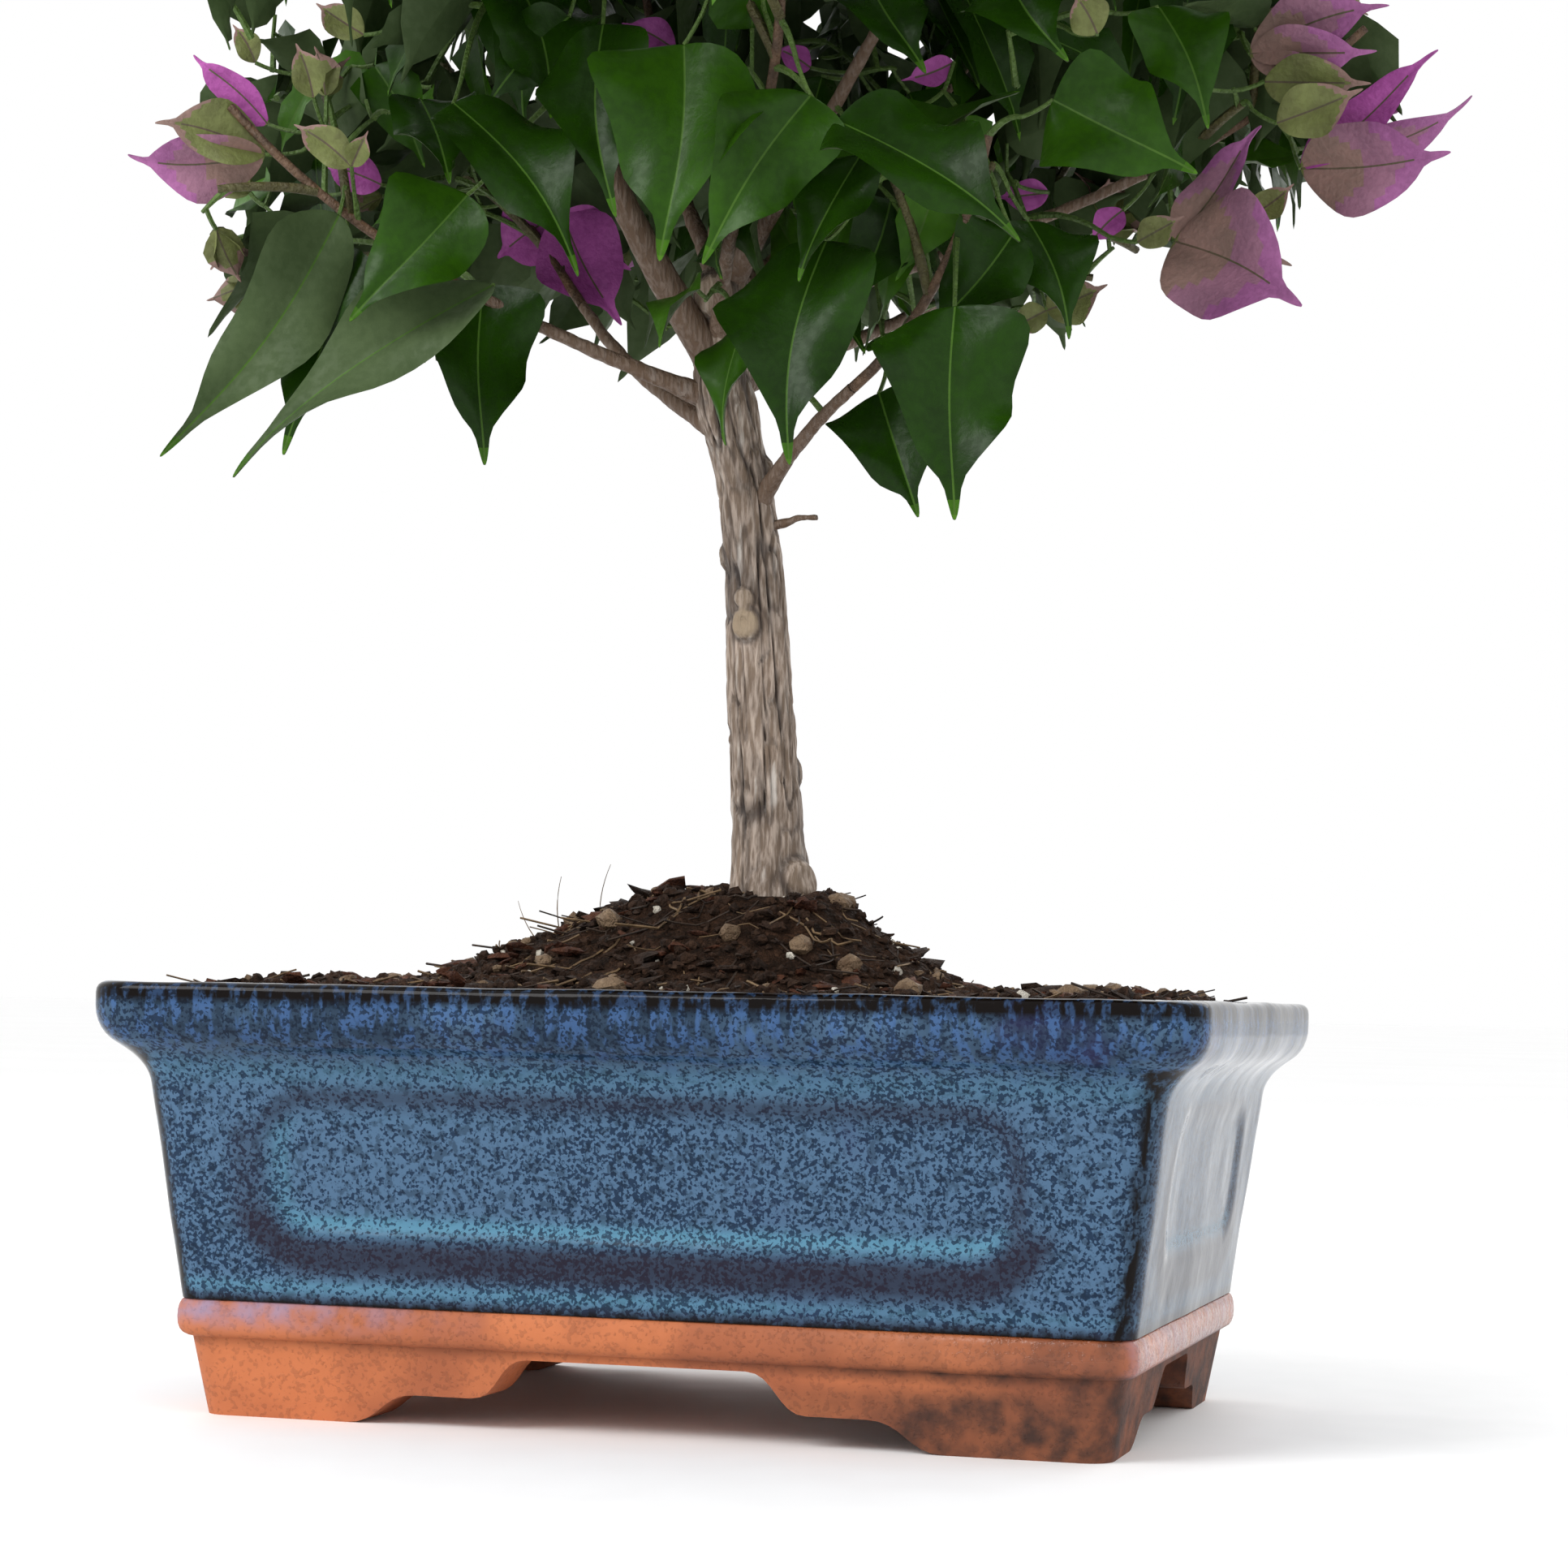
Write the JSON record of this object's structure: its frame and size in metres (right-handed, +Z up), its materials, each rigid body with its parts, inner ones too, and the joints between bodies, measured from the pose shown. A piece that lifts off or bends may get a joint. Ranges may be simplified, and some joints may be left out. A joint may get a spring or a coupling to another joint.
{
  "type": "potted bonsai tree",
  "caption": "Flowering bougainvillea bonsai with a slender grey trunk and a loose rounded crown, rooted in a mound of soil in a rectangular blue-glazed pot on unglazed clay feet.",
  "frame": {"origin": "middle of the base of the whole plant's box, on the plane under the pot's feet", "axes": "+Z up, +X along the pot's length, -Y out of the pot's front face"},
  "size_m": [0.2638, 0.2234, 0.3567],
  "materials": {
    "glaze": "gloss",
    "clay": "matte",
    "soil": "matte",
    "bark": "matte",
    "foliage": "satin"
  },
  "bodies": {
    "root": {"pot": "glaze", "pot_foot": "clay", "soil": "soil", "trunk": "bark", "bough_left": "bark", "bough_front": "bark", "bough_front_right": "bark", "bough_right": "bark", "bough_back_right": "bark", "bough_back": "bark", "bough_back_left": "bark", "bough_upper_left": "bark", "bough_upper_right": "bark", "bough_upper_back_right": "bark", "bough_upper_back_left": "bark", "bough_top": "bark", "mass_left": "foliage", "mass_front": "foliage", "mass_front_right": "foliage", "mass_right": "foliage", "mass_back_right": "foliage", "mass_back": "foliage", "mass_back_left": "foliage", "mass_upper_left": "foliage", "mass_upper_right": "foliage", "mass_upper_back_right": "foliage", "mass_upper_back_left": "foliage", "mass_top": "foliage"}
  },
  "joints": []
}
